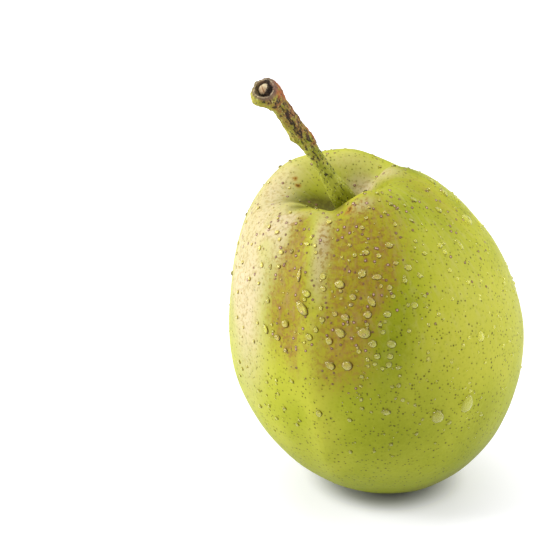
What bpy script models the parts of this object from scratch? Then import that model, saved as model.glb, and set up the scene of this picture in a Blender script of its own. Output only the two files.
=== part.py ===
"""A fresh green pear that rests on a small flat by its calyx and leans a little.

Three pieces: the fruit, the stem that grows out of its cavity, and the dried calyx in the basin
underneath. The fruit is shaped upright in its own frame, with its axis along Z and its girth at
height zero. It is then leaned over and set down, so that the middle of the flat is the origin.
A direction is in degrees round the fruit's axis, anticlockwise from above, from the right side.
"""

import math

import bmesh
import bpy
from mathutils import Matrix, Vector

# Driving dimensions, in metres and degrees.
FRUIT_DIAMETER = 0.062
STEM_END_HEIGHT = 0.0410
CALYX_END_HEIGHT = 0.0342
LEAN = 6.9
LEAN_TOWARDS = -139.0
FLAT_SPOT_DEPTH = 0.0012
PIECE_GAP = 0.0003

# The stem cavity is a steep funnel round a small flat seat that the stem grows from. It sits to
# one side of the axis, and the shoulders next to it move with it.
CAVITY_DEPTH = 0.0118
CAVITY_WIDTH = 0.0059
CAVITY_SEAT_RADIUS = 0.0027
CAVITY_OFFSET = -0.0010
CAVITY_OFFSET_SPREAD = 0.0150

# The shoulders round the cavity, and their hollows: direction, half width in degrees, depth. A
# negative depth is a swelling. A share of each runs on down the flank, to a little below the girth.
SHOULDER_RADIUS = 0.0125
SHOULDER_SPREAD = 0.0058
SHOULDER_HOLLOWS = (
    (53.0, 16.0, 0.0030),
    (113.0, 22.0, 0.0004),
    (178.0, 25.0, 0.0032),
    (222.0, 24.0, 0.0013),
    (255.0, 12.0, 0.0007),
    (305.0, 30.0, -0.0014),
)
FLANK_HOLLOW_SHARE = 0.35
FLANK_HOLLOW_END = -0.007

# The calyx basin is shallower, and set a little off the axis.
BASIN_DEPTH = 0.0042
BASIN_WIDTH = 0.0050
BASIN_SEAT_RADIUS = 0.0022
BASIN_OFFSET = Vector((0.0, 0.0050))

# One narrow rib wanders down the flank from the hollow at the front left, in a shallow trough. It
# rises out of the cavity between two distances from the axis, and fades between two heights.
RIB_STARTS = (0.006, 0.014)
RIB_FADES = (-0.0310, -0.0150)
RIB_HEIGHT = 0.0011
RIB_HALF_WIDTH = 0.0022
RIB_TROUGH_SHARE = 0.45
RIB_TROUGH_WIDTH = 0.0060
RIB_DIRECTION = 246.5
RIB_TOP_SWING = 12.0
RIB_TOP_SHARE = 0.11
RIB_WAVE = 2.0

# A pear isn't a turned shape: one shoulder stands higher and both ends swing to one side.
SHOULDER_RISE = Vector((-0.08, 0.11))
CALYX_DROP = Vector((0.20, 0.0))
SIDE_SWAY = -0.0005
SIDE_BOW = -0.0046

# How finely the skin is divided. The rings crowd towards both ends, where the dimples are.
FRUIT_SEGMENTS = 96
FRUIT_RINGS = 46
RING_CROWDING = 0.16

# The stem's middle line, from the seat: how far right, back and up it passes.
STEM_ROUTE = (
    Vector((0.0000, 0.0000, 0.0000)),
    Vector((-0.0002, -0.0002, 0.0013)),
    Vector((-0.0018, -0.0014, 0.0046)),
    Vector((-0.0048, -0.0029, 0.0101)),
    Vector((-0.0071, -0.0038, 0.0142)),
    Vector((-0.0106, -0.0056, 0.0199)),
    Vector((-0.0137, -0.0080, 0.0254)),
    Vector((-0.0155, -0.0101, 0.0282)),
    Vector((-0.0165, -0.0125, 0.0303)),
)
# The stem's radius along its length, from 0 at the seat to 1 at the scar.
STEM_RADII = (
    (0.00, 0.00270),
    (0.13, 0.00235),
    (0.20, 0.00205),
    (0.29, 0.00162),
    (0.42, 0.00136),
    (0.51, 0.00165),
    (0.60, 0.00190),
    (0.72, 0.00175),
    (0.80, 0.00180),
    (0.90, 0.00255),
    (0.96, 0.00268),
    (1.00, 0.00225),
)
STEM_SIDES = 18
STEM_RINGS = 36
ROUTE_STEP = 0.01
SCAR_RADIUS = 0.0016
SCAR_DEPTH = 0.0004
# Each bud trace on the stem: place along it, direction round it, height, half width along it.
BUD_TRACE_SPREAD = 40.0
BUD_TRACES = (
    (0.58, 10.0, 0.0006, 0.0011),
    (0.52, 190.0, 0.0005, 0.0012),
)

# The dried calyx: a small disc with five sepals that curl up and out of the basin.
SEPALS = 5
CALYX_RADIUS = 0.0018
CALYX_THICKNESS = 0.0007
SEPAL_LENGTH = 0.0030
SEPAL_LIFT = 0.0017
SEPAL_GAP_SHARE = 0.15
CALYX_SIDES = 60
DISC_RINGS = 3
SEPAL_RINGS = 3


def smooth_step(low, high, value):
    """0 below low, 1 above high, and an even rise between them."""
    share = min(max((value - low) / (high - low), 0.0), 1.0)
    return share * share * (3 - 2 * share)


def bell(distance, half_width):
    """A rounded bump of height 1 that fades out over about two half widths."""
    return math.exp(-((distance / half_width) ** 2))


def turn_between(angle, other):
    """The smaller turn from one direction to another, in degrees, signed."""
    return (angle - other + 180.0) % 360.0 - 180.0


def around(direction, radius):
    """A point at this direction and distance from the axis."""
    turn = math.radians(direction)
    return Vector((radius * math.cos(turn), radius * math.sin(turn)))


def hollow_depth(direction):
    """How deep the shoulders are hollowed in this direction."""
    return sum(depth * bell(turn_between(direction, middle), half_width)
               for middle, half_width, depth in SHOULDER_HOLLOWS)


def rib_height(direction, radius, height):
    """How far the rib stands up from the flank at this place, or the trough lies below it."""
    down = (STEM_END_HEIGHT - height) / (STEM_END_HEIGHT + CALYX_END_HEIGHT)
    bend = RIB_TOP_SWING * bell(down, RIB_TOP_SHARE) - RIB_WAVE * math.sin(2 * math.pi * down)
    off_rib = math.radians(turn_between(direction, RIB_DIRECTION + bend)) * radius
    profile = bell(off_rib, RIB_HALF_WIDTH) - RIB_TROUGH_SHARE * bell(off_rib, RIB_TROUGH_WIDTH)
    return RIB_HEIGHT * profile * smooth_step(*RIB_STARTS, radius) * smooth_step(*RIB_FADES, height)


def sunk(height, distance, seat_radius, width, seat_height):
    """The height of the skin where it falls in a funnel to a level seat."""
    return height + (seat_height - height) * bell(max(distance - seat_radius, 0.0), width)


def swayed(spot, height):
    """Moves a point sideways to where the fruit's bent middle line passes."""
    along = height / STEM_END_HEIGHT
    sideways = SIDE_SWAY * along + SIDE_BOW * along * along
    if height > 0:
        sideways += CAVITY_OFFSET * bell(spot.length, CAVITY_OFFSET_SPREAD)
    return Vector((spot.x + sideways, spot.y, height))


def fruit_point(polar, direction):
    """A point of the skin: polar is 0 at the stem and pi at the calyx, direction in degrees."""
    radius = FRUIT_DIAMETER / 2 * math.sin(polar)
    upper = math.cos(polar) > 0
    height = math.cos(polar) * (STEM_END_HEIGHT if upper else CALYX_END_HEIGHT)
    hollow = hollow_depth(direction)
    near_stem = smooth_step(FLANK_HOLLOW_END, STEM_END_HEIGHT, height)
    flank_hollow = FLANK_HOLLOW_SHARE * hollow * near_stem * math.sin(polar)
    spot = around(direction, radius + rib_height(direction, radius, height) - flank_hollow)
    if upper:
        height -= hollow * bell(radius - SHOULDER_RADIUS, SHOULDER_SPREAD)
        height += SHOULDER_RISE.dot(spot) * max(height, 0.0) / STEM_END_HEIGHT
        seat = STEM_END_HEIGHT - CAVITY_DEPTH
        height = sunk(height, radius, CAVITY_SEAT_RADIUS, CAVITY_WIDTH + hollow, seat)
    else:
        height += CALYX_DROP.dot(spot) * min(height, 0.0) / CALYX_END_HEIGHT
        seat = BASIN_DEPTH - CALYX_END_HEIGHT
        off_basin = (spot - BASIN_OFFSET).length
        height = sunk(height, off_basin, BASIN_SEAT_RADIUS, BASIN_WIDTH, seat)
    return swayed(spot, height)


def ring_angles():
    """Polar angles of the skin's rings, from pole to pole."""
    for ring in range(FRUIT_RINGS + 1):
        share = ring / FRUIT_RINGS
        yield math.pi * share - RING_CROWDING * math.sin(2 * math.pi * share)


def lean_matrix():
    """Turns the upright fruit about a level axis through the middle of its girth."""
    towards = math.radians(LEAN_TOWARDS)
    level_axis = Vector((-math.sin(towards), math.cos(towards), 0.0))
    return Matrix.Rotation(math.radians(LEAN), 4, level_axis)


def cavity_seat():
    """The middle of the seat that the stem grows from, on the upright fruit."""
    return fruit_point(0.0, 0.0)


def basin_seat():
    """The middle of the calyx basin's seat, on the upright fruit."""
    polar = math.pi - math.asin(BASIN_OFFSET.length / (FRUIT_DIAMETER / 2))
    return fruit_point(polar, math.degrees(math.atan2(BASIN_OFFSET.y, BASIN_OFFSET.x)))


def smooth_through(stops, at):
    """The value at a place on a smooth curve through the stops, each a place and a value."""
    after = next((i for i, stop in enumerate(stops) if stop[0] > at), len(stops) - 1)
    after = max(after, 1)
    nearby = [stops[min(max(after + step, 0), len(stops) - 1)] for step in (-2, -1, 0, 1)]
    (place_a, a), (place_b, b), (place_c, c), (place_d, d) = nearby
    share = (at - place_b) / (place_c - place_b)
    slope_b = (c - a) / (place_c - place_a) * (place_c - place_b)
    slope_c = (d - b) / (place_d - place_b) * (place_c - place_b)
    cube, square = share ** 3, share ** 2
    return (b * (2 * cube - 3 * square + 1) + slope_b * (cube - 2 * square + share)
            + c * (3 * square - 2 * cube) + slope_c * (cube - square))


def placed_along(points):
    """Each point with its place along the run, from 0 at the first to 1 at the last."""
    run = [0.0]
    for before, after in zip(points, points[1:]):
        run.append(run[-1] + (after - before).length)
    return [(so_far / run[-1], point) for so_far, point in zip(run, points)], run[-1]


def closed_by_rings(rings, first_end, last_end):
    """A closed body: rings of points joined one to the next, and each end drawn to a point."""
    mesh = bmesh.new()
    loops = [[mesh.verts.new(point) for point in ring] for ring in rings]
    for before, after in zip(loops, loops[1:]):
        for i in range(len(before)):
            mesh.faces.new((before[i - 1], before[i], after[i], after[i - 1]))
    for loop, end in ((loops[0], first_end), (loops[-1], last_end)):
        tip = mesh.verts.new(end)
        for i in range(len(loop)):
            mesh.faces.new((loop[i - 1], loop[i], tip))
    bmesh.ops.recalc_face_normals(mesh, faces=mesh.faces)
    return mesh


def new_object(name, mesh, material):
    """Puts a finished bmesh into the scene as one named, smooth object."""
    data = bpy.data.meshes.new(name)
    mesh.to_mesh(data)
    mesh.free()
    data.materials.append(material)
    data.shade_smooth()
    made = bpy.data.objects.new(name, data)
    bpy.context.scene.collection.objects.link(made)
    return made


def finish(name, colour, roughness):
    """A plain material for one piece."""
    material = bpy.data.materials.new(name)
    material.use_nodes = True
    shader = material.node_tree.nodes["Principled BSDF"]
    shader.inputs["Base Color"].default_value = (*colour, 1.0)
    shader.inputs["Roughness"].default_value = roughness
    shader.inputs["Metallic"].default_value = 0.0
    return material


def fruit_mesh():
    """The whole skin, upright, before it is leaned and gets its flat."""
    angles = list(ring_angles())
    directions = [360.0 * segment / FRUIT_SEGMENTS for segment in range(FRUIT_SEGMENTS)]
    rings = [[fruit_point(angle, direction) for direction in directions] for angle in angles[1:-1]]
    return closed_by_rings(rings, fruit_point(angles[0], 0.0), fruit_point(angles[-1], 0.0))


def build_fruit(material):
    """The leaned fruit with its flat cut level. Returns what sets it down on the origin."""
    mesh = fruit_mesh()
    mesh.transform(lean_matrix())
    ground = min(vertex.co.z for vertex in mesh.verts) + FLAT_SPOT_DEPTH
    cut = bmesh.ops.bisect_plane(
        mesh, geom=mesh.verts[:] + mesh.edges[:] + mesh.faces[:],
        plane_co=(0, 0, ground), plane_no=(0, 0, -1), clear_outer=True)
    rim = [item for item in cut["geom_cut"] if isinstance(item, bmesh.types.BMEdge)]
    flat = bmesh.ops.edgeloop_fill(mesh, edges=rim)["faces"][0]
    set_down = Matrix.Translation(-flat.calc_center_median())
    mesh.transform(set_down)
    bmesh.ops.recalc_face_normals(mesh, faces=mesh.faces)
    new_object("fruit", mesh, material)
    return set_down


def bud_trace_height(direction, place, length):
    """How far the bud traces stand out of the stem here."""
    return sum(height * bell(turn_between(direction, towards), BUD_TRACE_SPREAD)
               * bell((place - at) * length, half_width)
               for at, towards, height, half_width in BUD_TRACES)


def stem_ring(middle, along, radii):
    """One ring of the stem, square to its run, with a radius for each side."""
    across = along.cross(Vector((0.0, 1.0, 0.0))).normalized()
    outward = across.cross(along)
    ring = []
    for side, radius in enumerate(radii):
        spot = around(360.0 * side / STEM_SIDES, radius)
        ring.append(middle + across * spot.x + outward * spot.y)
    return ring


def build_stem(material, standing):
    """The stem, from just clear of the seat to the scar at its thick end."""
    seat = standing @ (cavity_seat() + Vector((0, 0, PIECE_GAP)))
    route, length = placed_along([seat + point for point in STEM_ROUTE])
    rings = []
    for ring in range(STEM_RINGS + 1):
        place = ring / STEM_RINGS
        ahead = smooth_through(route, min(place + ROUTE_STEP, 1.0))
        behind = smooth_through(route, max(place - ROUTE_STEP, 0.0))
        along = (ahead - behind).normalized()
        radius = smooth_through(STEM_RADII, place)
        radii = [radius + bud_trace_height(360.0 * side / STEM_SIDES, place, length)
                 for side in range(STEM_SIDES)]
        rings.append(stem_ring(smooth_through(route, place), along, radii))
    tip = route[-1][1]
    rings.append(stem_ring(tip - along * SCAR_DEPTH, along, [SCAR_RADIUS] * STEM_SIDES))
    mesh = closed_by_rings(rings, route[0][1], tip)
    new_object("stem", mesh, material)


def sepal_reach(direction):
    """0 between two sepals and 1 along the middle of one."""
    swing = abs(turn_between(direction * SEPALS, 180.0)) / 180.0
    return smooth_step(SEPAL_GAP_SHARE, 1.0, swing)


def calyx_ring(seat, disc_share, sepal_share):
    """One ring of the calyx: a share of the disc's radius, and of each sepal's length past it."""
    ring = []
    for side in range(CALYX_SIDES):
        direction = 360.0 * side / CALYX_SIDES
        past_disc = sepal_share * sepal_reach(direction)
        spot = around(direction, CALYX_RADIUS * disc_share + SEPAL_LENGTH * past_disc)
        ring.append(seat + Vector((spot.x, spot.y, -SEPAL_LIFT * past_disc ** 2)))
    return ring


def build_calyx(material, standing):
    """The dried calyx, a gap clear of the basin's seat."""
    seat = basin_seat() - Vector((0, 0, PIECE_GAP))
    thickness = Vector((0, 0, CALYX_THICKNESS))
    next_to_fruit = [calyx_ring(seat, (i + 1) / DISC_RINGS, 0.0) for i in range(DISC_RINGS)]
    next_to_fruit += [calyx_ring(seat, 1.0, (i + 1) / SEPAL_RINGS) for i in range(SEPAL_RINGS)]
    outside = [[point - thickness for point in ring] for ring in next_to_fruit]
    mesh = closed_by_rings(next_to_fruit + outside[::-1], seat, seat - thickness)
    mesh.transform(standing)
    new_object("calyx", mesh, material)


def main():
    for old in list(bpy.data.objects):
        bpy.data.objects.remove(old)
    set_down = build_fruit(finish("pear_skin", (0.42, 0.44, 0.05), 0.42))
    standing = set_down @ lean_matrix()
    build_stem(finish("stem_bark", (0.20, 0.19, 0.06), 0.70), standing)
    build_calyx(finish("dried_calyx", (0.09, 0.05, 0.02), 0.85), standing)
    return standing


if __name__ == "__main__":
    main()
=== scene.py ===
"""A fresh green pear, wet with small drops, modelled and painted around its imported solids.

Lengths are in metres. A place on the skin is often named by the pixel of the photograph that shows
it: a ray from the camera through that pixel finds it on the fruit.
"""
import math
import random

import bmesh
import bpy
from bpy.props import FloatProperty, FloatVectorProperty, IntProperty, PointerProperty
from mathutils import Matrix, Vector, noise
from mathutils.bvhtree import BVHTree


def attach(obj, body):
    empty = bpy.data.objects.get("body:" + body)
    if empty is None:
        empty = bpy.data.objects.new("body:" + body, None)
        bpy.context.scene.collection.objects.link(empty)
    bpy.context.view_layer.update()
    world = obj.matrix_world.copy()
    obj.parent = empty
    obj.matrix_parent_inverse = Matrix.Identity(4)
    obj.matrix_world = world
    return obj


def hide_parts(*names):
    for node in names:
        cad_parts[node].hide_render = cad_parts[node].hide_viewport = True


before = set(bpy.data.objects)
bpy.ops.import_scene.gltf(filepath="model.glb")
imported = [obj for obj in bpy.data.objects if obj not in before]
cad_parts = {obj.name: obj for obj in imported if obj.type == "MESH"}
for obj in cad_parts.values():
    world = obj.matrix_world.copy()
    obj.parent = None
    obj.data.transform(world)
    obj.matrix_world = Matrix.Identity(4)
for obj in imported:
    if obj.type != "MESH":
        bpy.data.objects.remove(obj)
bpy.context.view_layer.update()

bl_info = {
    "name": "Wet green pear",
    "version": (1, 0, 0),
    "blender": (4, 5, 0),
    "location": "View3D > Sidebar > Pear",
    "description": "Builds a fresh green pear with its stem, calyx and water drops",
    "category": "Add Mesh",
}

# The photograph's frame and how the camera sees the fruit.
PHOTO_WIDTH = 543
PHOTO_HEIGHT = 546
FOCAL_PIXELS = 2125.0
SENSOR = 36.0
VIEW_DISTANCE = 0.450
NEAR_CLIP = 0.01
VIEW_ELEVATION = math.radians(25.0)
GIRTH_PIXEL = (377.5, 332.8)

# The fruit stands with its axis leaned over from the middle of its girth.
GIRTH_CENTRE = Vector((-0.00269, 0.00152, 0.03284))
LEAN = math.radians(6.9)
LEAN_TOWARDS = math.radians(-139.0)
CALYX_DEPTH = 0.0342
BASIN_SEAT = Vector((-0.00207, 0.00888, 0.00326))

# The stem's middle line, from just above the seat: how far right, back and up it passes.
STEM_START = Vector((-0.00904, -0.00079, 0.06179))
STEM_ROUTE = (
    Vector((0.0000, 0.0000, 0.0000)),
    Vector((-0.0002, -0.0002, 0.0013)),
    Vector((-0.0018, -0.0014, 0.0046)),
    Vector((-0.0048, -0.0029, 0.0101)),
    Vector((-0.0071, -0.0038, 0.0142)),
    Vector((-0.0106, -0.0056, 0.0199)),
    Vector((-0.0137, -0.0080, 0.0254)),
    Vector((-0.0155, -0.0101, 0.0282)),
    Vector((-0.0165, -0.0125, 0.0303)),
)

# The lip of the cavity dips here, in front of the stem's foot.
NOTCH_PIXEL = (338.0, 210.0)

# The middle of the swelling under the stem's scar.
KNOB_BULGE = Vector((-0.0275, -0.0140, 0.0895))

# Heights above the floor: where the flat spot and the creased part round it end, and where the
# skin's lumps set in.
FLAT_TOP = 0.00002
UNDERSIDE_TOP = 0.0016
LUMPS_FROM = 0.0002
LUMPS_FULL_FROM = 0.003
UNDERSIDE_SMOOTHINGS = 20

# Patterns in the skin: the sizes of their lumps, and how deep its relief is.
CLOUD_SIZE = 0.011
FINE_SIZE = 0.0008
STREAK_SIZE = 0.0012
BROAD_STREAK_SIZE = 0.0040
STREAK_ROUND = 0.025
STREAK_ALONG = 0.45
PEBBLE_SIZE = 0.0018
WOBBLE_SIZE = 0.0006
WOBBLE = 0.00022
SKIN_RELIEF = 0.00016

# Patterns in the bark.
BARK_CLOUD_SIZE = 0.0030
BARK_FINE_SIZE = 0.00045
BARK_GRAIN_SIZE = 0.0007
BARK_GRAIN_LENGTH = 2.5
SPECK_SPACING = 0.00055
BLOT_SIZE = 0.0008
SMALL_BLOT_SIZE = 0.00040
BLOTCH_SIZE = 0.0015
PIT_SIZE = 0.0009
FINE_PIT_SIZE = 0.0004
RIPPLE_SIZE = 0.00035
RIPPLE_HEIGHT = 0.00012
KNOB_BULGE_SIZE = 0.0021
BARK_RELIEF = 0.00010

# The scar at the stem's end: the radii of its dark ring, its lip and its pith.
RING_RADIUS = 0.00145
RING_WIDTH = 0.00032
LIP_RADIUS = 0.0020
PITH_RADIUS = 0.0011
PITH_TOP_RADIUS = 0.00080

# The calyx and its stamens.
CREASE_SIZE = 0.0007
FINE_CREASE_SIZE = 0.0003
CALYX_FINE_SIZE = 0.0006
FIBRE_SIZE = 0.00025
CALYX_RELIEF = 0.0001
STRAND_SEED = 5
STRAND_SIDES = 6
STRAND_THICKNESS = 0.00010
STRAND_RING = 0.0007
STRAND_SINK = 0.0004
STRAND_CUTS = 4
STRAND_LEANS = (0.2, 0.9)
STRAND_LENGTHS = (0.0012, 0.0019)

# Water: the segments and rings of a drop, how flat it is under the skin, how uneven it is, and
# how its heavy end swells. Small drops are scattered mostly on the wettest side. Towards the right,
# drops lose their painted dark shadow rim and their painted glow covers them all over.
LARGE_DROP_MESH = (24, 14)
SMALL_DROP_MESH = (10, 6)
DROP_UNDERSIDE = 0.22
DROP_UNEVENNESS = 0.10
HEAVY_WIDER = 0.45
HEAVY_TALLER = 0.35
AWAY_FROM_LIGHT = Vector((0.8, 0.1, -0.6))
WETTEST = Vector((0.05, -0.75, 0.65)).normalized()
LOWEST_WATER = -0.45
DRY_SIDE_CHANCE = 0.06
SMALL_DROP_HEAVY = 0.2
SMALL_DROP_LONGEST = 1.35
CLEAR_DROPS_FROM_TO = (0.002, 0.018)

# The studio: each light's name, place, size and the setting that holds its power.
WHITE = (1.0, 1.0, 1.0, 1.0)
BLACK = (0.0, 0.0, 0.0, 1.0)
FLOOR_SIZE = 6.0
FAR_FLOOR_FROM = 0.35
FAR_FLOOR_FULL = 0.65
LIGHTS = (
    ("left_light", (-0.72, 0.04, 0.25), 0.50, "left_power"),
    ("right_light", (0.68, 0.08, 0.30), 0.50, "right_power"),
    ("key_light", (-0.40, -0.22, 0.50), 0.19, "key_power"),
    ("top_light", (0.0, 0.30, 0.85), 1.10, "top_power"),
)

# Tolerances, units and reaches.
MERGE_DISTANCE = 0.000001
FARTHEST_PAST_OUTLINE = 8
MILLIMETRE = 0.001
PATCH_SPREAD = 1.5
NO_ZERO = 0.0001
WELL_OUTSIDE = 0.1

# Patches of colour on the skin: the middle's pixel, half width and half height in millimetres, how
# far it is turned in degrees, and its strength. The deep green, yellow and cream patches are partly
# the skin's own colour and partly painted shade, painted highlight and painted sheen. The shade
# patches are painted shade in the cavity and low at the right.
BROWN_PATCHES = (
    (299, 232, 2.2, 7.0, -10, 0.75),
    (294, 262, 3.0, 8.0, -8, 0.85),
    (287, 290, 4.5, 9.0, -5, 0.95),
    (285, 314, 5.0, 8.0, 0, 0.65),
    (287, 338, 5.0, 6.0, 0, 0.45),
    (293, 358, 1.8, 6.0, 8, 0.45),
    (368, 235, 8.0, 10.0, 20, 1.00),
    (350, 262, 6.0, 9.0, 5, 0.85),
    (378, 272, 4.0, 7.0, 10, 0.95),
    (346, 300, 5.5, 9.0, -20, 0.80),
    (364, 310, 4.0, 8.0, -10, 0.75),
    (332, 350, 5.0, 9.0, -10, 0.70),
    (356, 345, 4.0, 8.0, 0, 0.50),
    (345, 372, 6.0, 5.0, -10, 0.35),
    (425, 190, 10.0, 4.5, -25, 0.30),
)
# Deep green: partly the skin's own colour, partly painted shade in the cavity, on the low belly and low
# at the right.
DEEP_GREEN_AND_SHADE_PATCHES = (
    (393, 325, 6.0, 13.0, -8, 0.75),
    (380, 390, 14.0, 14.0, 0, 0.45),
    (360, 455, 20.0, 9.0, 0, 0.40),
    (308, 203, 7.0, 4.5, 0, 1.00),
    (450, 476, 18.0, 9.0, 12, 1.00),
    (400, 165, 4.0, 3.0, -20, 0.50),
    (420, 430, 14.0, 9.0, 0, 0.40),
    (478, 432, 5.0, 12.0, -30, 0.60),
    (428, 203, 12.0, 5.0, -25, 0.50),
    (440, 240, 8.0, 8.0, 25, 0.25),
    (408, 167, 4.0, 2.5, -20, 0.70),
    (400, 205, 5.0, 4.0, -20, 0.50),
    (460, 207, 5.0, 4.0, -35, 0.50),
)
# Yellow: partly the sunny flanks, partly a painted highlight along the crest of the rib.
YELLOW_AND_HIGHLIGHT_PATCHES = (
    (495, 320, 13.0, 18.0, 10, 0.80),
    (440, 352, 11.0, 13.0, 0, 0.70),
    (268, 400, 6.0, 12.0, -10, 0.30),
    (321, 224, 1.8, 4.0, 5, 0.60),
    (320, 247, 1.8, 4.5, 0, 0.60),
    (318, 270, 1.9, 4.5, 5, 0.60),
    (312, 294, 2.0, 5.0, 12, 0.80),
    (307, 320, 2.0, 5.0, 8, 0.80),
    (308, 348, 1.7, 5.0, 0, 0.80),
    (313, 376, 1.9, 5.0, -10, 0.80),
    (319, 406, 2.4, 6.0, -14, 0.90),
    (326, 438, 3.2, 7.0, -18, 1.00),
    (338, 464, 3.0, 6.0, -22, 0.80),
    (350, 158, 8.0, 3.5, 0, 0.60),
    (301, 188, 6.0, 5.0, 0, 0.90),
)
# Cream: partly pale bloom, partly painted sheen on the left flank and painted highlights on the
# cavity's lip and folds and at the top of the rib.
CREAM_AND_SHEEN_PATCHES = (
    (243, 262, 7.0, 14.0, -5, 1.00),
    (262, 275, 5.0, 6.0, -3, 0.50),
    (280, 236, 3.5, 7.0, -8, 0.90),
    (262, 212, 8.0, 7.0, 25, 1.00),
    (276, 180, 7.0, 5.0, 25, 0.90),
    (285, 222, 6.0, 1.8, 10, 0.80),
    (246, 315, 6.0, 13.0, 0, 0.50),
    (234, 300, 6.0, 16.0, 0, 0.45),
    (250, 362, 6.0, 13.0, -8, 0.30),
    (324, 228, 2.2, 5.0, 0, 0.75),
    (322, 254, 2.0, 5.0, 0, 0.75),
    (317, 282, 1.8, 5.0, 8, 0.50),
    (363, 188, 4.5, 3.5, 0, 1.00),
    (385, 173, 4.0, 2.5, -20, 0.70),
    (350, 160, 8.0, 3.0, 0, 0.40),
    (362, 205, 3.0, 1.8, 30, 0.90),
)
# Painted shade in the cavity beside the stem and low at the right.
SHADE_PATCHES = (
    (310, 205, 6.0, 2.8, 8, 1.00),
    (325, 208, 4.0, 3.0, 0, 0.90),
    (343, 201, 3.0, 2.6, 0, 1.00),
    (341, 206, 2.0, 1.6, 0, 1.00),
    (440, 483, 12.0, 3.0, 10, 0.45),
    (301, 207, 3.0, 1.6, 10, 0.80),
)
RUSSET_SPOTS = (
    (295.0, 178.5, 0.60, 0.55, 0, 0.90),
    (298.0, 185.3, 0.70, 0.55, -20, 0.90),
    (283.0, 195.5, 0.40, 0.35, 0, 0.50),
    (349.5, 209.5, 1.20, 0.60, 50, 0.90),
)

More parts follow.
